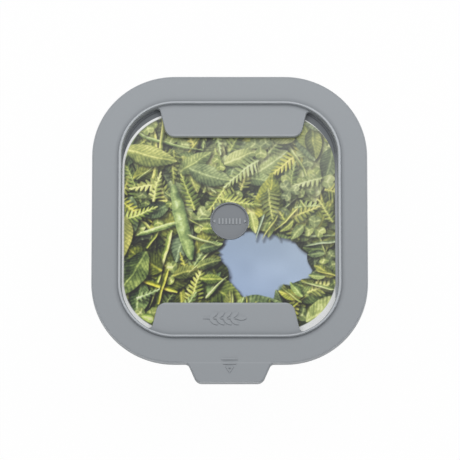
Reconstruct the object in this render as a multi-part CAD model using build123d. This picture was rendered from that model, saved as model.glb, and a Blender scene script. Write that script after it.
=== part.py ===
from build123d import *

import math
import os

# A rounded oblong food keeper: a glass container closed by a push-on lid. The lid is a soft grey frame round a
# clear window. A printed card lies on the window, with a turning vent in its centre hole.
# Millimetres. The origin is the centre of the container's underside, +Z is up and the pull tab is at -Y.
# An offset is a distance outwards from the crest line of the ridge round the window, and every outline of the
# frame, the window and the container is such an offset, so their corners share four centres.

# Ridge round the window
ridge_width = 120.2
ridge_length = 131.8
ridge_corner = 30.0
ridge_height = 1.8
ridge_thickness = 1.6

# Soft frame: flat ring, skirt, plug wall and seals
ring_width = 15.2
ring_thickness = 2.6
ring_edge_round = 1.2
skirt_thickness = 2.4
skirt_drop = 1.6
skirt_foot_round = 0.8
opening_inset = 1.1
opening_round = 0.4
plug_thickness = 2.8
seal_recess = 0.6
seal_rib_width = 1.2
seal_rib_inset = 2.9
fin_count = 2
fin_height = 1.4
fin_pitch = 2.4
fin_first_drop = 1.8
ledge_height = 0.6
ledge_reach = 0.9
retaining_lip_inset = 1.0
retaining_lip_thickness = 1.4
groove_depth = 1.7

# Wings that reach in over the card: the back one lies off the middle towards +X, the front one towards -X
wing_reach = 19.0
wing_shift = 2.2
wing_tip_width = 73.4
wing_root_width = 82.0
wing_tip_round = 5.5
wing_root_round = 2.0
wing_thickness = 2.8
wing_drop = 0.4
wing_edge_round = 0.6

# Pull tab
tab_length = 10.8
tab_tip_width = 35.6
tab_root_width = 45.0
tab_thickness = 3.4
tab_tip_round = 4.4
tab_root_round = 2.6
tab_edge_round = 0.9

# Raised marks
mark_height = 0.5
mark_line_width = 0.9
pull_line_lengths = (9.0, 7.2)
pull_line_insets = (2.4, 0.0)
pull_arrow_width = 4.4
pull_arrow_length = 3.6
pull_arrow_line = 0.75
pull_arrow_gap = 1.8
sprig_length = 24.0
sprig_stem_width = 0.65
sprig_leaf_length = 5.6
sprig_leaf_width = 2.2
sprig_leaf_pairs = 4
sprig_leaf_angle = 38.0
sprig_stalk = 3.3

# Window and card
window_depth = 7.2
window_thickness = 2.0
window_gap = 0.1
card_thickness = 0.4
card_gap = 0.25
card_right_gap = 1.4
card_back_gap = 3.3
card_back_corner = 31.5

# Vent
dial_radius = 10.4
dial_clearance = 0.25
dial_proud = 0.3
dial_dish = 1.2
dial_rim_width = 0.55
dial_plate = 1.1
dial_rib_width = 0.9
dial_rib_length = 3.4
dial_rib_count = 7
dial_rib_span = 12.2
dial_arrow_width = 2.0
dial_arrow_length = 1.6
dial_arrow_inset = 0.5
vent_chamber = 0.8
vent_floor = 1.4
gasket_thickness = 0.8
gasket_clearance = 0.15
shutter_radius = 10.0
shutter_thickness = 1.2
shutter_clearance = 0.4
guard_wall = 2.4
guard_foot_round = 1.0
collar_radius = 3.8
stem_radius = 2.5
stem_clearance = 0.05
stem_square = 3.3
stem_end_radius = 1.6
stem_groove_radius = 1.2
stem_end_length = 0.6
clip_radius = 4.2
clip_thickness = 0.7
clip_mouth = 2.0
turning_gap = 0.05
port_radius = 6.8
port_width = 3.0
port_arc = 12.0
port_count = 4
vent_travel = 45.0
lug_width = 3.0
lug_reach = 1.2
lug_play = 1.0

# Glass container
container_height = 50.0
mouth_gap = 1.45
mouth_depth = 9.0
glass_wall = 3.4
glass_draft = 7.0
base_thickness = 4.0
base_round = 10.0
floor_round = 7.0
flange_thickness = 4.5
flange_round = 1.6
flange_root_round = 3.0
mouth_round = 1.0
skirt_gap = 0.4
fin_gap = 0.3

# Drain tray
sump_depth = 3.5
tray_gap = 3.2
tray_plate = 1.6
tray_wall = 1.4
tray_lip_depth = 1.6
tray_foot_radius = 3.0
tray_foot_inset = 9.0
tray_handle_width = 18.0
tray_handle_height = 12.0
tray_handle_round = 4.0
tray_slot_length = 14.0
tray_slot_width = 3.0
tray_slot_pitch_x = 18.0
tray_slot_pitch_y = 7.5
tray_slot_margin = 5.0

# How far a solid that cuts another runs past it, and how far one that is added reaches into it
overcut = 1.0
root = 0.2

# Offsets of the faces that stand upright
opening = -opening_inset
plug_outside = opening + plug_thickness
mouth = plug_outside + mouth_gap
skirt_inside = ring_width - skirt_thickness
flange_outside = skirt_inside - skirt_gap
fin_tip = mouth - fin_gap
groove_bottom = opening + groove_depth

# Heights
rim_top = container_height
ring_top = rim_top + ring_thickness
crest = ring_top + ridge_height
skirt_low = rim_top - skirt_drop
wing_top = ring_top - wing_drop
wing_low = wing_top - wing_thickness
window_top = crest - window_depth
window_low = window_top - window_thickness
plug_low = window_low - retaining_lip_thickness
card_low = window_top + ledge_height
card_top = card_low + card_thickness
dial_top = card_top + dial_proud
dial_face = dial_top - dial_dish
dial_low = dial_face - dial_plate
floor_top = dial_low - vent_chamber
floor_low = floor_top - vent_floor
gasket_low = floor_low - gasket_thickness
shutter_top = gasket_low - turning_gap
shutter_low = shutter_top - shutter_thickness
clip_top = shutter_low - turning_gap
clip_low = clip_top - clip_thickness
stem_low = clip_low - stem_end_length
tray_low = base_thickness + sump_depth
tray_top = tray_low + tray_plate

# Places along Y
ring_end = ridge_length / 2 + ring_width
opening_end = ridge_length / 2 + opening
wing_tip = ridge_length / 2 - wing_reach

# Radii in the vent
well_radius = dial_radius + dial_clearance
guard_inside = shutter_radius + shutter_clearance
guard_outside = guard_inside + guard_wall


def outline(offset):
    """The oblong with round corners that runs at an offset from the crest line."""
    return RectangleRounded(
        ridge_width + 2 * offset,
        ridge_length + 2 * offset,
        ridge_corner + offset,
    )


def slab(offset, low, high):
    return extrude(Pos(0, 0, low) * outline(offset), high - low)


def disc(radius, low, high):
    return Pos(0, 0, (low + high) / 2) * Cylinder(radius, high - low)


def block(width, length, low, high):
    return Pos(0, 0, (low + high) / 2) * Box(width, length, high - low)


def bar(inside, outside, low, high):
    """A rectangle in the plane of a section, from one offset and height to another."""
    return Pos((inside + outside) / 2, (low + high) / 2) * Rectangle(outside - inside, high - low)


def around(section):
    """Carries a section, drawn as offset and height, round the crest line: four sides and four corners."""
    half_width = ridge_width / 2
    half_length = ridge_length / 2
    corner_x = half_width - ridge_corner
    corner_y = half_length - ridge_corner
    across = Plane(origin=(half_width, corner_y, 0), x_dir=(1, 0, 0), z_dir=(0, -1, 0))
    along = Plane(origin=(-corner_x, half_length, 0), x_dir=(0, 1, 0), z_dir=(1, 0, 0))
    right_side = extrude(across * section, 2 * corner_y)
    back_side = extrude(along * section, 2 * corner_x)
    corner = revolve(across * section, Axis((corner_x, corner_y, 0), (0, 0, 1)), 90)
    right_half = right_side + corner + mirror(corner, Plane.XZ)
    return right_half + mirror(right_half, Plane.YZ) + back_side + mirror(back_side, Plane.XZ)


def swept(section):
    """Sweeps a section, drawn as offset and height, along the crest line in one run."""
    crest_line = outline(0).wire()
    ahead = crest_line % 0
    outwards = ahead.cross(Vector(0, 0, 1))
    start = Plane(origin=crest_line @ 0, x_dir=outwards, z_dir=-ahead)
    return sweep(start * section, path=crest_line)


def rounded(section, offset, height, radius):
    """Rounds the corner of a section that lies nearest an offset and height."""
    corner = section.vertices().sort_by_distance((offset, height, 0))[0]
    return fillet(corner, radius)


def sector(inside, outside, middle_angle, half_angle):
    """A stretch of a flat ring round the vent's axis."""
    start = middle_angle - half_angle
    outer = CenterArc((0, 0), outside, start, 2 * half_angle)
    inner = CenterArc((0, 0), inside, start, 2 * half_angle)
    sides = [Line(inner @ 0, outer @ 0), Line(inner @ 1, outer @ 1)]
    return make_face([outer, inner] + sides)


def ports(turned, low, high):
    """The vent's curved ports, as the solids to cut away."""
    step = 360 / port_count
    cut = Part()
    for number in range(port_count):
        start = turned + number * step - port_arc / 2
        slot = SlotArc(CenterArc((0, 0), port_radius, start, port_arc), port_width)
        cut += extrude(Pos(0, 0, low) * slot, high - low)
    return cut


def glass_container():
    """Flanged vessel with tapered walls and a flat base."""
    lean = math.tan(math.radians(glass_draft))
    flange_low = rim_top - flange_thickness
    mouth_low = rim_top - mouth_depth
    wall_outside = mouth + glass_wall
    foot = wall_outside - flange_low * lean
    floor_edge = mouth - (mouth_low - base_thickness) * lean
    join = min(foot - base_round, floor_edge - floor_round) - overcut
    section = make_face(
        FilletPolyline(
            (join, 0),
            (foot, 0),
            (wall_outside, flange_low),
            (flange_outside, flange_low),
            (flange_outside, rim_top),
            (mouth, rim_top),
            (mouth, mouth_low),
            (floor_edge, base_thickness),
            (join, base_thickness),
            radius=[
                0,
                base_round,
                flange_root_round,
                flange_round,
                flange_round,
                mouth_round,
                floor_round,
                floor_round,
                0,
            ],
            close=True,
        )
    )
    return swept(section) + slab(join, 0, base_thickness)


def tray_outline_offset():
    """Offset of the tray's edge: the floor's edge less the gap to the glass."""
    lean = math.tan(math.radians(glass_draft))
    floor_edge = mouth - (rim_top - mouth_depth - base_thickness) * lean
    return floor_edge - tray_gap


def inside_outline(x, y, offset):
    """True if a point lies inside the oblong at an offset."""
    radius = ridge_corner + offset
    over_x = max(abs(x) - (ridge_width / 2 + offset - radius), 0)
    over_y = max(abs(y) - (ridge_length / 2 + offset - radius), 0)
    return math.hypot(over_x, over_y) <= radius


def drain_tray():
    """Slotted plate on four feet, with its edge turned down and two upright handles."""
    edge = tray_outline_offset()
    lip_inside = edge - tray_wall
    lip_low = tray_low - tray_lip_depth
    tray = slab(edge, lip_low, tray_top) - slab(lip_inside, lip_low - overcut, tray_low)

    slots = Sketch()
    columns = int((ridge_width / 2 + lip_inside) / tray_slot_pitch_x)
    rows = int((ridge_length / 2 + lip_inside) / tray_slot_pitch_y)
    for column in range(-columns, columns + 1):
        for row in range(-rows, rows + 1):
            x = column * tray_slot_pitch_x
            y = row * tray_slot_pitch_y
            far_x = abs(x) + tray_slot_length / 2
            far_y = abs(y) + tray_slot_width / 2
            if inside_outline(far_x, far_y, lip_inside - tray_slot_margin):
                slots += Pos(x, y) * SlotOverall(tray_slot_length, tray_slot_width)
    tray -= extrude(Pos(0, 0, tray_low - overcut) * slots, tray_plate + 2 * overcut)

    foot_x = ridge_width / 2 + edge - tray_foot_inset
    foot_y = ridge_length / 2 + edge - tray_foot_inset
    corner_shift = (ridge_corner + edge) * (1 - math.sqrt(0.5))
    for side_x in (-1, 1):
        for side_y in (-1, 1):
            x = side_x * (foot_x - corner_shift / 2)
            y = side_y * (foot_y - corner_shift / 2)
            tray += Pos(x, y, 0) * disc(tray_foot_radius, base_thickness, tray_low)

    handle_middle = ridge_width / 2 + edge - tray_wall / 2
    handle_face = Pos(0, tray_handle_height / 2) * Rectangle(tray_handle_width, tray_handle_height)
    handle_face = fillet(handle_face.vertices().group_by(Axis.Y)[-1], tray_handle_round)
    for side in (-1, 1):
        face_plane = Plane(
            origin=(side * handle_middle - tray_wall / 2, 0, tray_top),
            x_dir=(0, 1, 0),
            z_dir=(1, 0, 0),
        )
        tray += extrude(face_plane * handle_face, tray_wall)
    return tray


def frame_section():
    """Section of the soft frame: ring, skirt, ridge, plug wall, seals and the window's groove."""
    ridge_radius = ridge_thickness / 2
    section = bar(opening, ring_width, rim_top + seal_recess, ring_top)
    section += bar(skirt_inside, ring_width, skirt_low, ring_top)
    section += bar(opening, plug_outside, plug_low, ring_top)
    section = rounded(section, ring_width, ring_top, ring_edge_round)
    section = rounded(section, ring_width, skirt_low, skirt_foot_round)
    section = rounded(section, opening, ring_top, opening_round)
    section += bar(-ridge_radius, ridge_radius, ring_top - root, crest - ridge_radius)
    section += Pos(0, crest - ridge_radius) * Circle(ridge_radius)

    rib_offsets = (mouth + seal_rib_inset, flange_outside - seal_rib_inset)
    for offset in rib_offsets:
        section += bar(
            offset - seal_rib_width / 2,
            offset + seal_rib_width / 2,
            rim_top,
            rim_top + seal_recess + root,
        )

    for number in range(fin_count):
        fin_top = rim_top - fin_first_drop - number * fin_pitch
        section += make_face(
            Polyline(
                (plug_outside - root, fin_top),
                (fin_tip, fin_top - fin_height / 3),
                (plug_outside - root, fin_top - fin_height),
                close=True,
            )
        )

    section += bar(opening - retaining_lip_inset, opening + root, plug_low, window_low)
    section -= bar(opening - retaining_lip_inset - overcut, groove_bottom, window_low, window_top)
    return section


def wing_faces():
    """The two wings in plan, reaching a little way into the frame's wall."""
    half_tip = wing_tip_width / 2
    half_root = wing_root_width / 2
    lean = (half_root - half_tip) / (opening_end - wing_tip)
    beyond = opening_end + ridge_corner
    half_beyond = half_root + lean * ridge_corner
    wing = Pos(wing_shift, 0) * make_face(
        FilletPolyline(
            (-half_tip, wing_tip),
            (half_tip, wing_tip),
            (half_beyond, beyond),
            (-half_beyond, beyond),
            radius=[wing_tip_round, wing_tip_round, 0, 0],
            close=True,
        )
    )
    wings = wing + Rot(0, 0, 180) * wing
    space = outline(opening) - wings
    half_way = (wing_tip + opening_end) / 2
    roots = [corner for corner in space.vertices() if abs(corner.Y) > half_way]
    space = fillet(roots, wing_root_round)
    zone = Rectangle(ridge_width, 2 * beyond) - Rectangle(ridge_width, 2 * (wing_tip - overcut))
    return (outline(opening + plug_thickness / 3) & zone) - space


def wings():
    """The two wings, their top edges rounded where they stand free."""
    solid = extrude(Pos(0, 0, wing_low) * wing_faces(), wing_thickness)
    top_edges = solid.edges().group_by(Axis.Z)[-1]
    free_edges = []
    for edge in top_edges:
        middle = edge.position_at(0.5)
        if inside_outline(middle.X, middle.Y, opening - root) and abs(middle.Y) > wing_tip - root:
            free_edges.append(edge)
    return fillet(free_edges, wing_edge_round)


def card_face(inset):
    """The card in plan, drawn in by an inset. It follows the opening, but stops short at the right and back."""
    left = -ridge_width / 2 - opening + card_gap + inset
    right = ridge_width / 2 + opening - card_right_gap - inset
    back = opening_end - card_back_gap - inset
    reach = make_face(
        FilletPolyline(
            (left, -opening_end),
            (right, -opening_end),
            (right, back),
            (left, back),
            radius=[0, 0, card_back_corner - inset, card_back_corner - inset],
            close=True,
        )
    )
    return outline(opening - card_gap - inset) & reach


def ledge_face():
    """The ledge under the card's edge in plan, reaching a little way into the frame's wall."""
    return outline(opening + plug_thickness / 3) - card_face(ledge_reach)


def tab_face():
    """The pull tab in plan, with its root rounded into the ring's edge."""
    half_tip = tab_tip_width / 2
    half_root = tab_root_width / 2
    tip = -ring_end - tab_length
    inner = -ring_end + ring_width / 2
    flare = half_root + 2 * tab_root_round
    return make_face(
        FilletPolyline(
            (-half_tip, tip),
            (half_tip, tip),
            (half_root, -ring_end),
            (flare, -ring_end),
            (flare, inner),
            (-flare, inner),
            (-flare, -ring_end),
            (-half_root, -ring_end),
            radius=[tab_tip_round, tab_tip_round, tab_root_round, 0, 0, 0, 0, tab_root_round],
            close=True,
        )
    )


def pull_marks():
    """Two lines and an open arrow that point out along the tab."""
    marks = Sketch()
    for length, inset in zip(pull_line_lengths, pull_line_insets):
        marks += Pos(0, -ring_end + inset) * SlotOverall(length, mark_line_width)
    arrow = make_face(
        Polyline(
            (-pull_arrow_width / 2, 0),
            (pull_arrow_width / 2, 0),
            (0, -pull_arrow_length),
            close=True,
        )
    )
    arrow -= offset(arrow, -pull_arrow_line)
    return marks + Pos(0, -ring_end - pull_arrow_gap) * arrow


def leaf_face(length, width):
    """A pointed leaf along +X from its stalk."""
    upper = ThreePointArc((0, 0), (length / 2, width / 2), (length, 0))
    lower = ThreePointArc((length, 0), (length / 2, -width / 2), (0, 0))
    return make_face([upper, lower])


def sprig_face():
    """A plain sprig: a stem with pairs of leaves and one at its tip."""
    stem_length = sprig_length - sprig_leaf_length
    sprig = Pos(-sprig_leaf_length / 2, 0) * SlotOverall(stem_length, sprig_stem_width)
    leaf = leaf_face(sprig_leaf_length, sprig_leaf_width)
    spacing = (stem_length - sprig_stalk) / sprig_leaf_pairs
    for number in range(sprig_leaf_pairs):
        x = -sprig_length / 2 + sprig_stalk + number * spacing
        for side in (-1, 1):
            turned = Rot(0, 0, side * sprig_leaf_angle) * leaf
            sprig += Pos(x, side * sprig_stem_width / 4) * turned
    return sprig + Pos(sprig_length / 2 - sprig_leaf_length - sprig_stem_width, 0) * leaf


def lid_frame():
    """Soft moulding with its wings, tab and raised marks."""
    ledge = extrude(Pos(0, 0, window_top) * ledge_face(), ledge_height)
    frame = around(frame_section()) + ledge
    frame += wings()
    tab = extrude(Pos(0, 0, ring_top - tab_thickness) * tab_face(), tab_thickness)
    top_edges = tab.edges().group_by(Axis.Z)[-1]
    tab = fillet([edge for edge in top_edges if edge.center().Y < -ring_end - root], tab_edge_round)
    frame += tab - slab(skirt_inside + skirt_thickness / 2, skirt_low, ring_top + overcut)
    frame += extrude(Pos(0, 0, ring_top) * pull_marks(), mark_height)
    sprig_y = -(wing_tip + opening_end) / 2
    frame += extrude(Pos(-wing_shift, sprig_y, wing_top) * sprig_face(), mark_height)
    return frame


def lid_window():
    """Clear panel with the vent's well and, below it, the guard wall round the shutter."""
    window = slab(groove_bottom - window_gap, window_low, window_top)
    window += disc(guard_outside, stem_low, window_low)
    circles = window.edges().filter_by(GeomType.CIRCLE)
    circles = circles.filter_by_position(Axis.Z, window_low - root, window_low + root)
    window = fillet([edge for edge in circles if abs(edge.radius - guard_outside) < root], guard_foot_round)
    window -= disc(well_radius, floor_top, window_top + overcut)
    window -= disc(guard_inside, stem_low - overcut, floor_low)
    window -= disc(stem_radius + stem_clearance, floor_low - overcut, floor_top + overcut)
    window -= ports(0, floor_low - overcut, floor_top + overcut)
    lug_half_angle = math.degrees(math.asin(lug_width / 2 / shutter_radius))
    recess = sector(
        guard_inside - overcut,
        guard_inside + lug_reach,
        90,
        vent_travel + lug_half_angle + lug_play,
    )
    window -= extrude(Pos(0, 0, stem_low - overcut) * recess, gasket_low - stem_low + overcut)
    return window


def label_card():
    """Thin card with round corners and a hole for the dial."""
    card = card_face(0) - Circle(well_radius)
    return extrude(Pos(0, 0, card_low) * card, card_thickness)


def vent_gasket():
    """Soft ring under the vent's floor, with the same ports."""
    gasket = disc(guard_inside - gasket_clearance, gasket_low, floor_low)
    gasket -= disc(stem_radius + dial_clearance, gasket_low - overcut, floor_low + overcut)
    return gasket - ports(0, gasket_low - overcut, floor_low + overcut)


def dial_marks():
    """A row of grip ribs between two arrowheads that point both ways round."""
    marks = Sketch()
    pitch = (dial_rib_span - dial_rib_width) / (dial_rib_count - 1)
    for number in range(dial_rib_count):
        x = (number - (dial_rib_count - 1) / 2) * pitch
        marks += Pos(x, 0) * SlotOverall(dial_rib_length, dial_rib_width, rotation=90)
    point = dial_radius - dial_rim_width - dial_arrow_inset
    arrow = make_face(
        Polyline(
            (point, 0),
            (point - dial_arrow_length, dial_arrow_width / 2),
            (point - dial_arrow_length, -dial_arrow_width / 2),
            close=True,
        )
    )
    return marks + arrow + mirror(arrow, Plane.YZ)


def vent_dial():
    """Dished disc with raised marks on a stem that passes through the window."""
    dial = disc(dial_radius, dial_low, dial_top)
    dial -= disc(dial_radius - dial_rim_width, dial_face, dial_top + overcut)
    dial += disc(collar_radius, floor_top + turning_gap, dial_low)
    dial += disc(stem_radius, shutter_top + turning_gap, floor_top + turning_gap)
    dial += block(stem_square, stem_square, clip_top, shutter_top + turning_gap)
    dial += disc(stem_groove_radius, clip_low, clip_top)
    dial += disc(stem_end_radius, stem_low, clip_low)
    return dial + extrude(Pos(0, 0, dial_face) * dial_marks(), mark_height)


def vent_shutter():
    """Ported disc on the stem's square, with a lug that stops its turn both ways."""
    shutter = disc(shutter_radius, shutter_low, shutter_top)
    hole = stem_square + 2 * stem_clearance
    lug_end = guard_inside + lug_reach - shutter_clearance
    lug = Pos(0, lug_end / 2, 0) * block(lug_width, lug_end, shutter_low, shutter_top)
    shutter += lug
    shutter -= block(hole, hole, shutter_low - overcut, shutter_top + overcut)
    turned = 180 / port_count
    return shutter - ports(turned, shutter_low - overcut, shutter_top + overcut)


def vent_clip():
    """Open ring that snaps sideways into the stem's groove."""
    clip = disc(clip_radius, clip_low, clip_top)
    clip -= disc(stem_groove_radius + stem_clearance, clip_low - overcut, clip_top + overcut)
    mouth_cut = block(clip_radius + overcut, clip_mouth, clip_low - overcut, clip_top + overcut)
    return clip - Pos(clip_radius / 2, 0, 0) * mouth_cut


pieces = {
    "glass_container": glass_container(),
    "drain_tray": drain_tray(),
    "lid_frame": lid_frame(),
    "lid_window": lid_window(),
    "label_card": label_card(),
    "vent_gasket": vent_gasket(),
    "vent_dial": vent_dial(),
    "vent_shutter": vent_shutter(),
    "vent_clip": vent_clip(),
}

os.makedirs("parts", exist_ok=True)
for name, piece in pieces.items():
    export_step(piece, f"parts/{name}.step")
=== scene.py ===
import math

import bmesh
import bpy
import numpy as np
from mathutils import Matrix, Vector

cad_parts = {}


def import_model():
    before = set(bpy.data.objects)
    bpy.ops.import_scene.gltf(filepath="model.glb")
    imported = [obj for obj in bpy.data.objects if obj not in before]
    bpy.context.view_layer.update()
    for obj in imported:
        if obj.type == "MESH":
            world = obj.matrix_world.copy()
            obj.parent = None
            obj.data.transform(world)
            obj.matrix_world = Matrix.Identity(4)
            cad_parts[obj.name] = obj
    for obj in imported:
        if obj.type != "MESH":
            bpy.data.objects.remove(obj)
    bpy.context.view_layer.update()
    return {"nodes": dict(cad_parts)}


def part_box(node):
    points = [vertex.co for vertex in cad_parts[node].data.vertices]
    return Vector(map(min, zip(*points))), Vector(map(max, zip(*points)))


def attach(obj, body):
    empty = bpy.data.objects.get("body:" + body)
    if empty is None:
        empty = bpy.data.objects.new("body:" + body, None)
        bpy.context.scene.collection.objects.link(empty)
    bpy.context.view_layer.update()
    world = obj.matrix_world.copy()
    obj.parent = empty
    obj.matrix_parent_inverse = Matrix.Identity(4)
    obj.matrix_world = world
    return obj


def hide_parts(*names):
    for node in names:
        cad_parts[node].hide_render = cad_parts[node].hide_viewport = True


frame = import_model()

MM = 0.001

# Photograph: its width, the direction it looks from, its scale, and where the middle of the lid's rim lies
PICTURE_PIXELS = 460
CAMERA_ELEVATION = math.radians(75)
CAMERA_DISTANCE = 3.0
SENSOR = 36.0
MM_PER_PIXEL = 0.546
RIM_MIDDLE_PIXEL = (229.65, 220.0)
RIM_MIDDLE_HEIGHT = 50.25 * MM

# Light as radiances, where 1 is white, and the floor's reach in metres
WORLD_LIGHT = 0.33
KEY_RADIANCE = 1.95
FILL_RADIANCE = 1.35
FLOOR_GLOW = 0.98
FLOOR_HALF_WIDTH = 6.0

# Lid in millimetres, its outer sizes from the frame: the ridge round the window, which stands up from the
# ring, the tab at the ring's front, the wings that reach in over the card, and the dished dial
LID_LOW, LID_HIGH = (np.array(corner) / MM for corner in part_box("lid_frame"))
CREST = LID_HIGH[2]
RIDGE_HEIGHT = 1.8
RING_TOP = CREST - RIDGE_HEIGHT
RING_END = LID_HIGH[1]
RING_WIDTH = 15.2
RIDGE_HALF_WIDTH = LID_HIGH[0] - RING_WIDTH
RIDGE_HALF_LENGTH = RING_END - RING_WIDTH
RIDGE_CORNER = 30.0
TAB_HALF_WIDTH = 24.0
TAB_TIP = -LID_LOW[1]
WING_REACH = 19.0
WING_TIP = RIDGE_HALF_LENGTH - WING_REACH
WING_HALF_WIDTH = 39.0
WING_DROP = 0.4
WING_TOP = RING_TOP - WING_DROP
DIAL_DISH_DEPTH = 1.2
DIAL_DISH_RADIUS = 9.6
DIAL_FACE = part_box("vent_dial")[1].z / MM - DIAL_DISH_DEPTH

# Printed card, in millimetres. A box is left, front, right, back. Radii are of the left front, right front,
# left back and right back corners. The card's front corners follow the frame's opening.
CARD_LOW, CARD_HIGH = (np.array(corner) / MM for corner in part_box("label_card"))
CARD_TOP = CARD_HIGH[2]
CARD_BOX = (CARD_LOW[0], CARD_LOW[1], CARD_HIGH[0], CARD_HIGH[1])
CARD_FRONT_RADIUS = 28.65
CARD_BACK_RADII = (0.0, 0.0, 31.5, 31.5)
CARD_HOLE_RADIUS = 10.65
PRINT_BOX = (-57.7, -61.7, 58.2, 60.4)
PRINT_RADII = (27.8, 31.8, 31.0, 31.0)
PRINT_CELL = 0.38
PRINT_SEED = 11


def to_linear(display):
    """Linear light for an array of display values from 0 to 1."""
    return np.where(display <= 0.04045, display / 12.92, ((display + 0.055) / 1.055) ** 2.4)


def linear(red, green, blue):
    """A colour given as 0 to 255 display values, as linear light with alpha."""
    return (*to_linear(np.array((red, green, blue)) / 255).tolist(), 1.0)


def feed(tree, socket, value):
    """Links an input to a node's output, or sets it to a plain value."""
    if isinstance(value, bpy.types.NodeSocket):
        tree.links.new(value, socket)
    else:
        socket.default_value = value


def add(tree, kind, inputs=None, **settings):
    """Adds a shader node, sets its properties, and sets or links its inputs."""
    made = tree.nodes.new(kind)
    for name, value in settings.items():
        setattr(made, name, value)
    for name, value in (inputs or {}).items():
        feed(tree, made.inputs[name], value)
    return made


def new_material(name):
    material = bpy.data.materials.new(name)
    material.use_nodes = True
    material.node_tree.nodes.clear()
    return material, material.node_tree


def place(tree):
    """The point on the surface in the object's own metres."""
    return add(tree, "ShaderNodeTexCoord").outputs["Object"]


def noise(tree, per_metre, detail, vector=None):
    """Noise between 0 and 1, with about so many lumps to the metre."""
    return add(
        tree,
        "ShaderNodeTexNoise",
        {"Vector": vector or place(tree), "Scale": per_metre, "Detail": detail, "Roughness": 0.55},
    ).outputs["Fac"]


def ramp(tree, value, low, high, start=0.0, end=1.0):
    """Maps a value from start to end onto low to high."""
    return add(
        tree,
        "ShaderNodeMapRange",
        {"Value": value, "From Min": start, "From Max": end, "To Min": low, "To Max": high},
    ).outputs["Result"]


def mixed(tree, share, first, second):
    """Two colours mixed by a share of the second."""
    made = add(tree, "ShaderNodeMix", data_type="RGBA")
    for number, value in ((0, share), (6, first), (7, second)):
        feed(tree, made.inputs[number], value)
    return made.outputs[2]


def bump(tree, height, depth):
    """A normal from a height between 0 and 1, with its depth in metres."""
    return add(
        tree,
        "ShaderNodeBump",
        {"Height": height, "Distance": depth, "Strength": 1.0},
    ).outputs["Normal"]


def output(tree, shader):
    add(tree, "ShaderNodeOutputMaterial", {"Surface": shader})


def principled(tree, inputs):
    return add(tree, "ShaderNodeBsdfPrincipled", inputs).outputs["BSDF"]


def mixed_shaders(tree, share, first, second):
    """Two shaders mixed by a share of the second."""
    made = add(tree, "ShaderNodeMixShader")
    for number, value in enumerate((share, first, second)):
        feed(tree, made.inputs[number], value)
    return made.outputs["Shader"]


def math_node(tree, operation, first, second=0.0):
    """A sum on one or two values."""
    made = add(tree, "ShaderNodeMath", operation=operation)
    for number, value in enumerate((first, second)):
        feed(tree, made.inputs[number], value)
    return made.outputs[0]


def product(tree, first, second):
    return math_node(tree, "MULTIPLY", first, second)


def rise(tree, length, start, end):
    """0 for a length under start and 1 for a length over end, both in millimetres."""
    return ramp(tree, length, 0.0, 1.0, start * MM, end * MM)


def fall(tree, length, start, end):
    """1 for a length under start and 0 for a length over end, both in millimetres."""
    return ramp(tree, length, 1.0, 0.0, start * MM, end * MM)


def axes(tree, vector):
    """The X, Y and Z of a vector."""
    parts = add(tree, "ShaderNodeSeparateXYZ", {"Vector": vector})
    return [parts.outputs[axis] for axis in "XYZ"]


def length_of(tree, across, along):
    """How long a vector of two parts is."""
    squares = [product(tree, value, value) for value in (across, along)]
    return math_node(tree, "SQRT", math_node(tree, "ADD", *squares))


def from_crest_line(tree, across, along):
    """Distance outwards from the ridge's crest line in plan, in metres. It is negative inside the ridge."""
    over = [
        math_node(tree, "SUBTRACT", math_node(tree, "ABSOLUTE", value), (half - RIDGE_CORNER) * MM)
        for value, half in ((across, RIDGE_HALF_WIDTH), (along, RIDGE_HALF_LENGTH))
    ]
    outside = length_of(tree, *(math_node(tree, "MAXIMUM", value, 0.0) for value in over))
    inside = math_node(tree, "MINIMUM", math_node(tree, "MAXIMUM", *over), 0.0)
    return math_node(tree, "SUBTRACT", math_node(tree, "ADD", outside, inside), RIDGE_CORNER * MM)


class LidPoint:
    """A place on the lid's frame, as shader values in metres."""

    def __init__(self, tree):
        self.across, self.along, self.height = axes(tree, place(tree))
        self.off_middle = math_node(tree, "ABSOLUTE", self.across)
        self.outward = from_crest_line(tree, self.across, self.along)
        self.beside_crest = math_node(tree, "ABSOLUTE", self.outward)


def painted_crease_shade(tree, at):
    """Share of the painted shade in the crease at the foot of the ridge."""
    near = ramp(tree, at.beside_crest, 0.75, 0.0, 1.1 * MM, 3.2 * MM)
    return product(tree, near, fall(tree, at.height, RING_TOP + 0.3, RING_TOP + 1.0))


def ledge_painted_light_and_shade(tree, at):
    """Painted light and shade on the ledge round the card: a paler painted light in front, and painted
    shade at the back with a darker painted shadow line beside the ridge.
    """
    painted_shadow_line = product(
        tree,
        rise(tree, at.beside_crest, 1.9, 2.1),
        fall(tree, at.beside_crest, 2.5, 2.7),
    )
    shaded = mixed(tree, painted_shadow_line, linear(104, 109, 114), linear(74, 79, 84))
    return mixed(tree, rise(tree, at.along, 20, 40), linear(174, 179, 184), shaded)


def painted_crest_highlight(tree, at):
    """Share of the painted highlight along the ridge's crest, less where its face looks lengthways."""
    normal = add(tree, "ShaderNodeTexCoord").outputs["Normal"]
    lengthways = math_node(tree, "ABSOLUTE", axes(tree, normal)[1])
    upper = rise(tree, at.height, CREST - 0.7, CREST - 0.15)
    return product(tree, upper, ramp(tree, lengthways, 1.0, 0.0, 0.25, 0.6))


def painted_outer_edge_highlight(tree, at):
    """Share of the painted highlight along the ring's outer edge and the tab's tip."""
    on_tab = product(
        tree,
        fall(tree, at.off_middle, TAB_HALF_WIDTH - 1, TAB_HALF_WIDTH),
        fall(tree, at.along, -RING_END, 1 - RING_END),
    )
    ring = rise(tree, at.outward, RING_WIDTH - 0.7, RING_WIDTH - 0.1)
    ring = product(tree, ring, math_node(tree, "SUBTRACT", 1.0, on_tab))
    tab = fall(tree, at.along, 0.1 - TAB_TIP, 0.8 - TAB_TIP)
    upper = rise(tree, at.height, RING_TOP - 1.3, RING_TOP - 0.9)
    return product(tree, math_node(tree, "MAXIMUM", ring, tab), upper)


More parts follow.
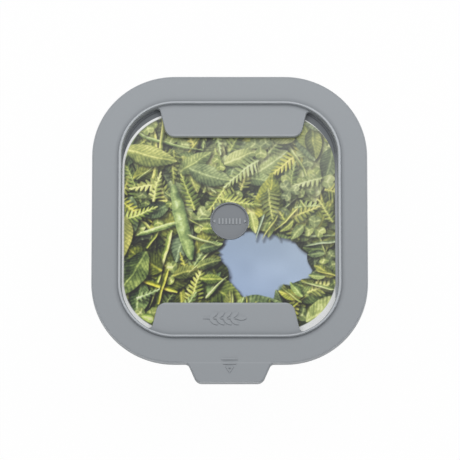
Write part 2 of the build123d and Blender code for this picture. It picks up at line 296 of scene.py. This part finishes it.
def painted_wing_edge_highlight(tree, at):
    """Share of the painted highlight on the upper edge at the wings' tips."""
    off_centre = math_node(tree, "ABSOLUTE", at.along)
    tip = product(
        tree,
        fall(tree, at.off_middle, WING_HALF_WIDTH, WING_HALF_WIDTH + 2),
        fall(tree, off_centre, WING_TIP + 0.6, WING_TIP + 1.5),
    )
    return product(tree, tip, rise(tree, at.height, WING_TOP - 0.4, WING_TOP))


def silicone():
    """Soft grey moulding: matt and mottled, with dust specks, painted highlights on raised edges, painted
    shade in the crease at the ridge's foot, and painted light and shade on the ledge.
    """
    material, tree = new_material("grey_silicone")
    at = LidPoint(tree)
    mottle = noise(tree, 45, 4.0)
    tone = mixed(tree, ramp(tree, mottle, 0, 1, 0.3, 0.7), linear(150, 155, 160), linear(154, 159, 164))
    specks = ramp(tree, noise(tree, 1500, 1.0), 0, 0.5, 0.72, 0.80)
    ledge = fall(tree, at.height, CARD_TOP + 0.1, CARD_TOP + 1.5)
    # Dust specks are the moulding's own; the other layers are painted shade, painted light and shade, and
    # painted highlights.
    layers = (
        (specks, linear(176, 180, 184)),
        (painted_crease_shade(tree, at), linear(128, 133, 138)),
        (ledge, ledge_painted_light_and_shade(tree, at)),
        (painted_crest_highlight(tree, at), linear(188, 193, 198)),
        (painted_outer_edge_highlight(tree, at), linear(196, 200, 204)),
        (painted_wing_edge_highlight(tree, at), linear(166, 171, 176)),
    )
    for share, layer_tone in layers:
        tone = mixed(tree, share, tone, layer_tone)
    inputs = {
        "Base Color": tone,
        "Roughness": ramp(tree, mottle, 0.48, 0.58, 0.3, 0.7),
        "Normal": bump(tree, noise(tree, 2600, 2.0), 0.00002),
        "Sheen Weight": 0.12,
        "Sheen Roughness": 0.5,
    }
    output(tree, principled(tree, inputs))
    return material


def painted_mark_highlight(tree, height):
    """Share of the painted highlight on the dial's marks that stand above a height in millimetres, inside
    its dish.
    """
    across, along, up = axes(tree, place(tree))
    dished = fall(tree, length_of(tree, across, along), DIAL_DISH_RADIUS, DIAL_DISH_RADIUS + 0.2)
    return product(tree, rise(tree, up, height, height + 0.15), dished)


def plastic(name, colour, lighter, roughness=0.4, highlight_height=None):
    """Satin moulded plastic with a fine spark-eroded grain. Its marks above a height in mm may carry a
    painted highlight.
    """
    material, tree = new_material(name)
    mottle = noise(tree, 60, 3.0)
    tone = mixed(tree, ramp(tree, mottle, 0, 1, 0.3, 0.7), linear(*colour), linear(*lighter))
    if highlight_height:
        # Painted highlight: raised marks above the height are lighter.
        tone = mixed(tree, painted_mark_highlight(tree, highlight_height), tone, linear(150, 155, 160))
    inputs = {
        "Base Color": tone,
        "Roughness": ramp(tree, mottle, roughness - 0.05, roughness + 0.05, 0.3, 0.7),
        "Normal": bump(tree, noise(tree, 4200, 2.0), 0.000012),
    }
    output(tree, principled(tree, inputs))
    return material


def clear(name, colour, roughness, index):
    """Clear glass or plastic that lets the lamps' light through."""
    material, tree = new_material(name)
    inputs = {
        "Base Color": linear(*colour),
        "Roughness": roughness,
        "IOR": index,
        "Transmission Weight": 1.0,
        "Normal": bump(tree, noise(tree, 70, 2.0), 0.00004),
    }
    passing = add(tree, "ShaderNodeBsdfTransparent", {"Color": linear(*colour)}).outputs["BSDF"]
    shadow = add(tree, "ShaderNodeLightPath").outputs["Is Shadow Ray"]
    output(tree, mixed_shaders(tree, shadow, principled(tree, inputs), passing))
    return material


def steel():
    """Bright strip steel, brushed along X."""
    material, tree = new_material("spring_steel")
    stretched = add(
        tree,
        "ShaderNodeMapping",
        {"Vector": place(tree), "Scale": (300, 9000, 9000)},
    ).outputs["Vector"]
    brushed = noise(tree, 1.0, 3.0, vector=stretched)
    inputs = {
        "Base Color": linear(205, 205, 203),
        "Metallic": 1.0,
        "Roughness": ramp(tree, brushed, 0.22, 0.38),
        "Normal": bump(tree, brushed, 0.000004),
    }
    output(tree, principled(tree, inputs))
    return material


def printed_paper():
    """Satin card: ink on its upper face, bare paper on its edges and underside."""
    material, tree = new_material("printed_card")
    ink = add(tree, "ShaderNodeAttribute", attribute_name="ink").outputs["Color"]
    grain = noise(tree, 2200, 2.0)
    ink = mixed(tree, ramp(tree, grain, 0, 0.12, 0.35, 0.65), ink, linear(40, 44, 30))
    upper = rise(tree, axes(tree, place(tree))[2], CARD_TOP - 0.08, CARD_TOP - 0.04)
    inputs = {
        "Base Color": mixed(tree, upper, linear(226, 228, 228), ink),
        "Roughness": ramp(tree, grain, 0.36, 0.42),
        "Normal": bump(tree, noise(tree, 28, 2.0), 0.00012),
        "Specular IOR Level": 0.2,
        "Coat Weight": 0.05,
        "Coat Roughness": 0.22,
    }
    output(tree, principled(tree, inputs))
    return material


# Leaf print: tones as display values from deep to bright, the pale clearing in it, how far leaves stay off
# that, and the painted reflection, a pale haze, that lies over it. Lengths are in millimetres.
LEAF_TONES = (
    (14, 20, 10),
    (44, 58, 26),
    (88, 108, 44),
    (142, 160, 66),
    (202, 210, 92),
    (242, 244, 146),
)
CLEARING_TONES = ((136, 156, 174), (154, 174, 192))
CLEARING_MIDDLE = (17.0, -24.0)
CLEARING_RADIUS = 19.0
CLEARING_STRETCH = 1.35
CLOVER_GAP = 4.0
FROND_GAP = 6.0
LEAF_OVERHANG = 1.0
PRINT_HALF_WIDTH = PRINT_BOX[2]
PRINT_HALF_LENGTH = -PRINT_BOX[1]
SCATTER_MARGIN = 4.0
WARMTHS = (-0.7, 1.0)
WARM_TINT = np.array((0.10, 0.02, -0.20))
DULL_TINT = np.array((0.96, 1.04, 0.98))
SHADOW_SHIFT = (0.9, -1.1)
RIM_SHADOW = 0.6
CONTRAST = 1.25
BRIGHTENING = 0.03
PAINTED_REFLECTION_TONE = (196, 200, 184)
PAINTED_REFLECTION_MIDDLE = 0.25
PAINTED_REFLECTION_PER_MM = (0.0026, 0.0050)
PAINTED_REFLECTION_MOST = 0.55
PAPER_TONE = (251, 252, 252)


def smooth(low, high, value):
    """0 below low and 1 above high, with a soft step between."""
    share = np.clip((value - low) / (high - low), 0, 1)
    return share * share * (3 - 2 * share)


def blended(first, second, share):
    """Two arrays of colours, mixed point by point."""
    share = np.asarray(share)[..., None]
    return first * (1 - share) + second * share


def bell(value, width):
    """1 at zero, falling off on both sides over a width."""
    return np.exp(-((value / width) ** 2))


def soft_noise(draws, x, y, size):
    """Noise between 0 and 1 with lumps of a size in millimetres."""
    count = 64
    table = draws.random((count, count))
    column = np.floor(x / size).astype(int)
    row = np.floor(y / size).astype(int)
    along = smooth(0, 1, x / size - column)
    up = smooth(0, 1, y / size - row)

    def corner(i, j):
        return table[(row + j) % count, (column + i) % count]

    low = corner(0, 0) * (1 - along) + corner(1, 0) * along
    high = corner(0, 1) * (1 - along) + corner(1, 1) * along
    return low * (1 - up) + high * up


def leaf_tone(level):
    """Leaf colour from 0, deep, to 1, bright."""
    places = np.linspace(0, 1, len(LEAF_TONES))
    channels = np.array(LEAF_TONES).T / 255
    return np.stack([np.interp(level, places, channel) for channel in channels], axis=-1)


def ended(edge, u, v, length):
    """Keeps a leaf's edge distance positive before its stalk and past its tip."""
    return np.where((u < 0) | (u > length), np.abs(v) + np.maximum(-u, u - length), edge)


def to_nearest(phase):
    """Distance to the nearest whole number."""
    part = phase - np.floor(phase)
    return np.minimum(part, 1 - part)


def oval_leaf(u, v, length, width):
    """Smooth oval leaf with a midrib and side veins."""
    s = np.clip(u / length, 0, 1)
    half = width / 2 * np.sin(np.pi * s ** 0.85) ** 0.8 + 1e-3
    edge = ended(np.abs(v) - half, u, v, length)
    side = np.clip(v / half, -2, 2)
    veins = 6 + int(length / 4)
    phase = (s - 0.22 * np.abs(side) * (1 - s * 0.5)) * veins
    vein = bell(to_nearest(phase), 0.09) * (1 - smooth(0.75, 1.0, np.abs(side)))
    rib = bell(v, 0.35 + 0.25 * (1 - s))
    puff = 0.10 * np.cos(2 * np.pi * (phase - 0.4)) * smooth(0.05, 0.35, np.abs(side))
    level = 0.50 + 0.13 * np.tanh(side * 2.2) + puff + 0.13 * vein + 0.30 * rib
    return edge, level - 0.10 * smooth(0.7, 1, -side)


def frond(u, v, length, width):
    """Feathery frond: narrow leaflets along a thin stem."""
    s = np.clip(u / length, 0, 1)
    reach = width / 2 * (smooth(0.0, 0.22, s) * (1 - s) ** 0.75 + 0.04)
    side = np.abs(v) / np.maximum(reach, 0.3)
    count = int(length / 2.3)
    phase = (s - 0.10 * side) * count + 0.5 * (v > 0)
    part = phase - np.floor(phase)
    fat = 0.44 * np.sqrt(np.clip(1 - side, 0, 1)) * (0.55 + 0.45 * smooth(0, 0.25, side))
    leaflet = (np.abs(part - 0.5) - fat) * length / count
    leaflet = np.where(side > 1, np.maximum(leaflet, (side - 1) * reach), leaflet)
    stem = np.abs(v) - (0.35 + 0.35 * (1 - s))
    edge = ended(np.minimum(leaflet, stem), u, v, length)
    level = 0.52 + 0.30 * (part - 0.5) + 0.10 * np.sign(v) + 0.25 * bell(v, 0.5)
    return edge, level


def heart_leaflet(u, v, length, width):
    """Broad heart-shaped leaflet with a pale chevron."""
    s = np.clip(u / length, 0, 1)
    side = np.abs(v) / (width / 2)
    notch = 1 - 0.16 * bell(side, 0.22) - 0.18 * side ** 2.4
    widening = np.sqrt(np.clip(s / 0.62, 0, 1))
    closing = np.sqrt(np.clip(1 - ((s - 0.62) / 0.40) ** 2, 0, 1))
    half = width / 2 * np.where(s > 0.62, closing, widening)
    edge = np.maximum(np.abs(v) - half, (s - notch) * length)
    edge = ended(edge, u, v, length)
    vein = bell(to_nearest((s - 0.5 * side) * 9), 0.13)
    chevron = bell(s - 0.48 - 0.22 * side, 0.07) * (side < 0.8)
    level = 0.46 + 0.10 * np.tanh(v / width * 5) + 0.08 * vein + 0.28 * chevron
    return edge, level + 0.2 * bell(v, 0.3) + 0.05 * s


def blade(u, v, length, width):
    """Long narrow blade, lighter along one side."""
    s = np.clip(u / length, 0, 1)
    half = width / 2 * (1 - s ** 3) * (0.4 + 0.6 * smooth(0, 0.1, s)) + 1e-3
    side = np.clip(v / half, -2, 2)
    level = 0.60 + 0.26 * np.tanh(side * 3) + 0.06 * np.cos(side * 9)
    return ended(np.abs(v) - half, u, v, length), level


def pod(u, v, length, width):
    """Pod with the bumps of its peas."""
    s = np.clip(u / length, 0, 1)
    half = width / 2 * np.sin(np.pi * s) ** 0.35 + 1e-3
    side = np.clip(v / half, -2, 2)
    peas = max(int(length / (width * 0.9)), 3)
    bumps = np.cos(2 * np.pi * (s * peas - 0.5)) * (1 - np.abs(side))
    level = 0.56 + 0.26 * bell(side - 0.25, 0.45) + 0.07 * bumps + 0.15 * bell(side - 0.86, 0.07)
    return ended(np.abs(v) - half, u, v, length), level - 0.22 * smooth(0.35, 1.0, -side)


def clearing_reach(turn):
    """How far the pale clearing reaches in a direction, before its stretch, in millimetres."""
    waves = 2.4 * np.sin(3 * turn + 1) + 1.6 * np.sin(5 * turn + 2.4) + 0.8 * np.sin(9 * turn)
    return CLEARING_RADIUS + waves


def past_clearing(x, y):
    """Distance outside the pale clearing's wavy edge, in millimetres."""
    across = (x - CLEARING_MIDDLE[0]) / CLEARING_STRETCH
    up = y - CLEARING_MIDDLE[1]
    turn = np.arctan2(up, across * CLEARING_STRETCH)
    return np.hypot(across, up) - clearing_reach(turn)


class LeafPrint:
    """A picture of leaves that lie over each other, lit from the upper left."""

    def __init__(self, xs, ys, seed):
        self.draws = np.random.default_rng(seed)
        self.xs = xs
        self.ys = ys
        self.x, self.y = np.meshgrid(xs, ys)
        self.cell = xs[1] - xs[0]
        self.grain = soft_noise(self.draws, self.x, self.y, 1.1) - 0.5
        self.blotch = soft_noise(self.draws, self.x, self.y, 5.0) - 0.5
        self.crinkle = soft_noise(self.draws, self.x, self.y, 0.7) - 0.5
        self.colour = leaf_tone(0.05 + 0.25 * (self.blotch + 0.5) + 0.2 * (self.grain + 0.5))

    def around(self, x, y, reach):
        """The part of the picture within reach of a point."""
        left, right = np.searchsorted(self.xs, (x - reach, x + reach))
        low, high = np.searchsorted(self.ys, (y - reach, y + reach))
        return slice(low, high), slice(left, right)

    def stamp(self, kind, x, y, angle, length, width, lift=0.0, bend=0.0, shadow=0.5, grey=0.0, warm=0.0):
        """Draws a leaf from its stalk at x, y, and first its shadow on what lies below."""
        cosine = math.cos(angle)
        sine = math.sin(angle)
        reach = length * (0.75 + abs(bend)) + 3
        part = self.around(x + cosine * length / 2, y + sine * length / 2, reach)
        if self.x[part].size == 0:
            return
        wobble = self.blotch[part] * 0.9

        def drawn(points_x, points_y):
            u = cosine * (points_x - x) + sine * (points_y - y)
            v = cosine * (points_y - y) - sine * (points_x - x)
            v = v - bend * length * np.clip(u / length, -0.2, 1.2) ** 2
            return kind(u, v + wobble, length, width)

        edge, level = drawn(self.x[part], self.y[part])
        shade_edge = drawn(self.x[part] - SHADOW_SHIFT[0], self.y[part] - SHADOW_SHIFT[1])[0]
        dark = shadow * (1 - smooth(-1.2, 1.6, shade_edge))
        below = self.colour[part] * (1 - dark)[..., None]
        mottle = 0.18 * self.grain[part] + 0.30 * self.blotch[part] + 0.14 * self.crinkle[part]
        tone = leaf_tone(level + lift + mottle)
        dull = tone.mean(-1, keepdims=True) * DULL_TINT
        tone = (tone * (1 - grey) + dull * grey) * (1 + warm * WARM_TINT)
        cover = 1 - smooth(-0.6 * self.cell, 0.6 * self.cell, edge)
        self.colour[part] = blended(below, tone, cover)

    def open_clearing(self):
        """Lays the pale clearing on the deep ground."""
        pale, bright = (np.array(tone) / 255 for tone in CLEARING_TONES)
        slope = smooth(-25, 10, CLEARING_MIDDLE[1] - self.y + 0.3 * (self.x - CLEARING_MIDDLE[0]))
        open_share = 1 - smooth(-0.5, 2.5, past_clearing(self.x, self.y))
        cloud = 0.05 * soft_noise(self.draws, self.x, self.y, 9.0)[..., None] - 0.025
        self.colour = blended(self.colour, blended(pale, bright, slope) + cloud, open_share)

    def scatter(self, count, kind, lengths, widths, lifts, bend, shadow, greys):
        """Lays leaves anywhere outside the clearing. Widths are shares of the length."""
        draws = self.draws
        gap = FROND_GAP if kind is frond else -LEAF_OVERHANG
        half_width = PRINT_HALF_WIDTH + SCATTER_MARGIN
        half_length = PRINT_HALF_LENGTH + SCATTER_MARGIN
        left = count
        while left:
            x = draws.uniform(-half_width, half_width)
            y = draws.uniform(-half_length, half_length)
            length = draws.uniform(*lengths)
            width = length * draws.uniform(*widths)
            angle = draws.uniform(0, 2 * math.pi)
            far_x = x + math.cos(angle) * length * 0.8
            far_y = y + math.sin(angle) * length * 0.8
            if past_clearing(x, y) < 0 or past_clearing(far_x, far_y) < gap:
                continue
            left -= 1
            lift = draws.uniform(*lifts)
            bent = draws.uniform(-bend, bend)
            grey = draws.uniform(*greys)
            warm = draws.uniform(*WARMTHS)
            self.stamp(kind, x, y, angle, length, width, lift, bent, shadow, grey, warm)

    def scatter_clover(self, count):
        """Lays three-part leaves outside the clearing."""
        draws = self.draws
        left = count
        while left:
            x = draws.uniform(-PRINT_HALF_WIDTH, PRINT_HALF_WIDTH)
            y = draws.uniform(-PRINT_HALF_LENGTH, PRINT_HALF_LENGTH)
            angle = draws.uniform(0, 2 * math.pi)
            length = draws.uniform(5, 9)
            if past_clearing(x, y) < CLOVER_GAP:
                continue
            left -= 1
            lift = draws.uniform(-0.1, 0.15)
            for third in range(3):
                turned = angle + third * 2 * math.pi / 3
                grey = draws.uniform(0.1, 0.4)
                self.stamp(heart_leaflet, x, y, turned, length, length * 0.95, lift, grey=grey)

    def lay_rim(self, count, kind, lengths, share, lifts, inset):
        """Lays leaves round the clearing, their tips a little past its edge."""
        draws = self.draws
        for number in range(count):
            turn = (number + draws.uniform(-0.35, 0.35)) * 2 * math.pi / count
            away = math.hypot(math.cos(turn) / CLEARING_STRETCH, math.sin(turn))
            edge = clearing_reach(turn) / away - draws.uniform(-1.5, inset)
            angle = turn + math.pi + draws.uniform(-0.7, 0.7)
            length = draws.uniform(*lengths)
            x = CLEARING_MIDDLE[0] + edge * math.cos(turn) - length * math.cos(angle)
            y = CLEARING_MIDDLE[1] + edge * math.sin(turn) - length * math.sin(angle)
            lift = draws.uniform(*lifts)
            warm = draws.uniform(*WARMTHS)
            bent = draws.uniform(-0.12, 0.12)
            grey = draws.uniform(0, 0.4)
            self.stamp(kind, x, y, angle, length, length * share, lift, bent, RIM_SHADOW, grey, warm)

    def finished(self):
        """The colours with more contrast, and with a painted reflection: a pale haze that grows to the
        right and to the back.
        """
        middle = self.colour.mean(axis=(0, 1))
        colour = middle + (self.colour - middle) * CONTRAST + BRIGHTENING
        painted_reflection = np.clip(PAINTED_REFLECTION_MIDDLE + PAINTED_REFLECTION_PER_MM[0] * self.x + PAINTED_REFLECTION_PER_MM[1] * self.y, 0, PAINTED_REFLECTION_MOST)
        return np.clip(blended(colour, np.array(PAINTED_REFLECTION_TONE) / 255, painted_reflection), 0, 1)


def painted(xs, ys):
    """The print's colours, as display values from 0 to 1, at a grid of points."""
    leaves = LeafPrint(xs, ys, PRINT_SEED)
    leaves.open_clearing()
    leaves.scatter(170, frond, (16, 30), (0.45, 0.6), (-0.45, -0.25), 0.15, 0.3, (0.1, 0.5))
    leaves.scatter(80, oval_leaf, (14, 26), (0.5, 0.62), (-0.32, -0.10), 0.12, 0.5, (0.1, 0.6))
    leaves.scatter(70, frond, (16, 30), (0.4, 0.55), (-0.25, 0.0), 0.15, 0.5, (0, 0.4))
    leaves.lay_rim(30, oval_leaf, (13, 20), 0.5, (-0.30, -0.05), 1.0)
    for layer in range(7):
        leaves.scatter(6, blade, (25, 50), (0.03, 0.06), (-0.05, 0.20), 0.25, 0.6, (0, 0.2))
        leaves.scatter(9, oval_leaf, (15, 33), (0.42, 0.62), (-0.20, 0.16), 0.14, 0.7, (0, 0.45))
        leaves.scatter(9, frond, (14, 28), (0.4, 0.6), (-0.12, 0.22), 0.15, 0.65, (0, 0.3))
        leaves.scatter_clover(6)
        if layer % 2 == 0:
            leaves.scatter(1, pod, (34, 48), (0.16, 0.19), (0.0, 0.18), 0.12, 0.7, (0, 0.2))
    leaves.lay_rim(19, oval_leaf, (9, 15), 0.46, (-0.15, 0.12), 2.5)
    leaves.lay_rim(13, blade, (14, 22), 0.08, (0.0, 0.20), 4.0)
    return leaves.finished()


def rounded_distance(x, y, box, radii):
    """Distance in millimetres outside a box whose corners have their own radii. Inside it is negative."""
    left, front, right, back = box
    x = x - (left + right) / 2
    y = y - (front + back) / 2
    radius = np.where(y < 0, np.where(x < 0, radii[0], radii[1]), np.where(x < 0, radii[2], radii[3]))
    over_x = np.abs(x) - ((right - left) / 2 - radius)
    over_y = np.abs(y) - ((back - front) / 2 - radius)
    outside = np.hypot(np.maximum(over_x, 0), np.maximum(over_y, 0))
    return outside + np.minimum(np.maximum(over_x, over_y), 0) - radius


def card_distance(x, y):
    """Distance outside the card in millimetres, negative on it."""
    left, front = CARD_BOX[:2]
    opening = rounded_distance(x, y, (left, front, -left, -front), (CARD_FRONT_RADIUS,) * 4)
    reach = rounded_distance(x, y, CARD_BOX, CARD_BACK_RADII)
    hole = CARD_HOLE_RADIUS - np.hypot(x, y)
    return np.maximum(np.maximum(opening, reach), hole)


def card_points(xs, ys):
    """Grid points, the nearest to the card's outline moved onto it, and which of them are on the card."""
    x, y = np.meshgrid(xs, ys)
    step = 0.01
    gap = card_distance(x, y)
    slope_x = (card_distance(x + step, y) - gap) / step
    slope_y = (card_distance(x, y + step) - gap) / step
    near = np.abs(gap) <= (xs[1] - xs[0]) / 2
    x = np.where(near, x - gap * slope_x, x)
    y = np.where(near, y - gap * slope_y, y)
    return x, y, near | (gap < 0)


def card_ink(xs, ys):
    """The ink's linear colour at each grid point, as the mean of four points round it."""
    width = xs[1] - xs[0]
    depth = ys[1] - ys[0]
    quarters = np.array((-0.25, 0.25))
    fine_xs = (xs[:, None] + quarters * width).ravel()
    fine_ys = (ys[:, None] + quarters * depth).ravel()
    off_print = rounded_distance(*np.meshgrid(fine_xs, fine_ys), PRINT_BOX, PRINT_RADII)
    margin = smooth(-width / 4, width / 4, off_print)
    colour = to_linear(blended(painted(fine_xs, fine_ys), np.array(PAPER_TONE) / 255, margin))
    return colour.reshape(len(ys), 2, len(xs), 2, 3).mean(axis=(1, 3))


def lay_upper_face(mesh, xs, ys):
    """Fills in the card's upper face, which carries the ink's colours."""
    x, y, kept = card_points(xs, ys)
    ink = card_ink(xs, ys)
    ink_layer = mesh.verts.layers.float_color.new("ink")
    top = {}
    for row, column in zip(*np.nonzero(kept)):
        point = (x[row, column], y[row, column], CARD_TOP)
        vert = mesh.verts.new([value * MM for value in point])
        vert[ink_layer] = (*ink[row, column], 1.0)
        top[row, column] = vert
    for row in range(len(ys) - 1):
        for column in range(len(xs) - 1):
            corners = ((row, column), (row, column + 1), (row + 1, column + 1), (row + 1, column))
            verts = [top[corner] for corner in corners if corner in top]
            if len(verts) >= 3:
                mesh.faces.new(verts)
    loose = [vert for vert in mesh.verts if not vert.link_faces]
    bmesh.ops.delete(mesh, geom=loose, context="VERTS")


def add_walls_and_underside(mesh):
    """Gives the card's upper face a body as thick as the card."""
    border = [edge for edge in mesh.edges if len(edge.link_faces) == 1]
    walls = bmesh.ops.extrude_edge_only(mesh, edges=border)["geom"]
    for item in walls:
        if isinstance(item, bmesh.types.BMVert):
            item.co.z = CARD_LOW[2] * MM
    wall_edges = [item for item in walls if isinstance(item, bmesh.types.BMEdge)]
    lower_edges = [edge for edge in wall_edges if len(edge.link_faces) == 1]
    bmesh.ops.triangle_fill(mesh, edges=lower_edges, use_beauty=True, normal=(0, 0, -1))
    bmesh.ops.recalc_face_normals(mesh, faces=mesh.faces)


def card():
    """The printed card: a fine grid that carries the ink, cut to the outline, on a thin body."""
    columns = round((CARD_HIGH[0] - CARD_LOW[0]) / PRINT_CELL)
    rows = round((CARD_HIGH[1] - CARD_LOW[1]) / PRINT_CELL)
    xs = np.linspace(CARD_LOW[0], CARD_HIGH[0], columns + 1)
    ys = np.linspace(CARD_LOW[1], CARD_HIGH[1], rows + 1)
    mesh = bmesh.new()
    lay_upper_face(mesh, xs, ys)
    add_walls_and_underside(mesh)
    data = bpy.data.meshes.new("leaf_card")
    mesh.to_mesh(data)
    mesh.free()
    data.materials.append(printed_paper())
    piece = bpy.data.objects.new("leaf_card", data)
    bpy.context.scene.collection.objects.link(piece)
    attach(piece, "lid")
    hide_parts("label_card")


def seen_rays(tree):
    """1 for camera, glossy and transmission rays, which see the background as white."""
    path = add(tree, "ShaderNodeLightPath")
    first = math_node(tree, "MAXIMUM", path.outputs["Is Camera Ray"], path.outputs["Is Glossy Ray"])
    return math_node(tree, "MAXIMUM", first, path.outputs["Is Transmission Ray"])


def floor():
    """White floor: the object's shadow stays faint to the camera, and light from it stays real."""
    mesh = bpy.data.meshes.new("floor")
    reach = FLOOR_HALF_WIDTH
    mesh.from_pydata(
        [(-reach, -reach, 0), (reach, -reach, 0), (reach, reach, 0), (-reach, reach, 0)],
        [],
        [(0, 1, 2, 3)],
    )
    piece = bpy.data.objects.new("floor", mesh)
    bpy.context.scene.collection.objects.link(piece)
    material, tree = new_material("floor")
    share = product(tree, seen_rays(tree), FLOOR_GLOW)
    diffuse = add(tree, "ShaderNodeBsdfDiffuse", {"Color": (0.95, 0.95, 0.95, 1)}).outputs["BSDF"]
    glow = add(tree, "ShaderNodeEmission", {"Color": (1, 1, 1, 1), "Strength": 1.0}).outputs["Emission"]
    output(tree, mixed_shaders(tree, share, diffuse, glow))
    mesh.materials.append(material)


def world():
    made = bpy.data.worlds.new("studio")
    made.use_nodes = True
    tree = made.node_tree
    tree.nodes.clear()
    strength = ramp(tree, seen_rays(tree), WORLD_LIGHT, 1.0)
    light = add(tree, "ShaderNodeBackground", {"Color": (1, 1, 1, 1), "Strength": strength})
    add(tree, "ShaderNodeOutputWorld", {"Surface": light.outputs["Background"]})
    bpy.context.scene.world = made


def softbox(name, middle, aim, width, depth, radiance):
    """A lamp with a rectangular face, of a given radiance."""
    lamp = bpy.data.lights.new(name, "AREA")
    lamp.shape = "RECTANGLE"
    lamp.size = width
    lamp.size_y = depth
    lamp.energy = radiance * math.pi * width * depth
    holder = bpy.data.objects.new(name, lamp)
    holder.location = middle
    holder.rotation_euler = (Vector(aim) - Vector(middle)).to_track_quat("-Z", "Y").to_euler()
    holder.visible_camera = False
    bpy.context.scene.collection.objects.link(holder)


def camera():
    """Long lens, so that the lid's rim falls where the photograph has it."""
    data = bpy.data.cameras.new("camera")
    data.sensor_width = SENSOR
    view_width = PICTURE_PIXELS * MM_PER_PIXEL * MM
    data.lens = SENSOR * CAMERA_DISTANCE / view_width
    towards = Vector((0, -math.cos(CAMERA_ELEVATION), math.sin(CAMERA_ELEVATION)))
    up = Vector((0, math.sin(CAMERA_ELEVATION), math.cos(CAMERA_ELEVATION)))
    right = Vector((1, 0, 0))
    beside = (PICTURE_PIXELS / 2 - RIM_MIDDLE_PIXEL[0]) * MM_PER_PIXEL * MM
    above = (RIM_MIDDLE_PIXEL[1] - PICTURE_PIXELS / 2) * MM_PER_PIXEL * MM
    centre = Vector((0, 0, RIM_MIDDLE_HEIGHT)) + right * beside + up * above
    holder = bpy.data.objects.new("camera", data)
    holder.location = centre + towards * CAMERA_DISTANCE
    holder.rotation_euler = (-towards).to_track_quat("-Z", "Y").to_euler()
    data.clip_start = 0.05
    data.clip_end = 20
    bpy.context.scene.collection.objects.link(holder)
    bpy.context.scene.camera = holder


def dress(node, material):
    """Gives a CAD node its material."""
    data = frame["nodes"][node].data
    data.materials.clear()
    data.materials.append(material)


dress("lid_frame", silicone())
dress("vent_dial", plastic("dial_plastic", (113, 118, 124), (117, 122, 128), highlight_height=DIAL_FACE + 0.3))
dress("vent_shutter", plastic("grey_plastic", (117, 122, 128), (122, 127, 133)))
dress("drain_tray", plastic("tray_plastic", (226, 228, 228), (233, 235, 235), 0.35))
dress("vent_gasket", plastic("pale_silicone", (198, 201, 203), (206, 209, 210), 0.55))
dress("vent_clip", steel())
dress("glass_container", clear("glass", (244, 250, 248), 0.02, 1.5))
dress("lid_window", clear("clear_plastic", (250, 252, 253), 0.03, 1.49))
card()

floor()
world()
softbox("key", (0, 0.25, 0.62), (0, 0.25, 0), 1.0, 0.5, KEY_RADIANCE)
softbox("front_fill", (0, -1.1, 0.5), (0, 0, 0.05), 0.9, 0.4, FILL_RADIANCE)
camera()
bpy.context.scene.view_settings.view_transform = "Standard"
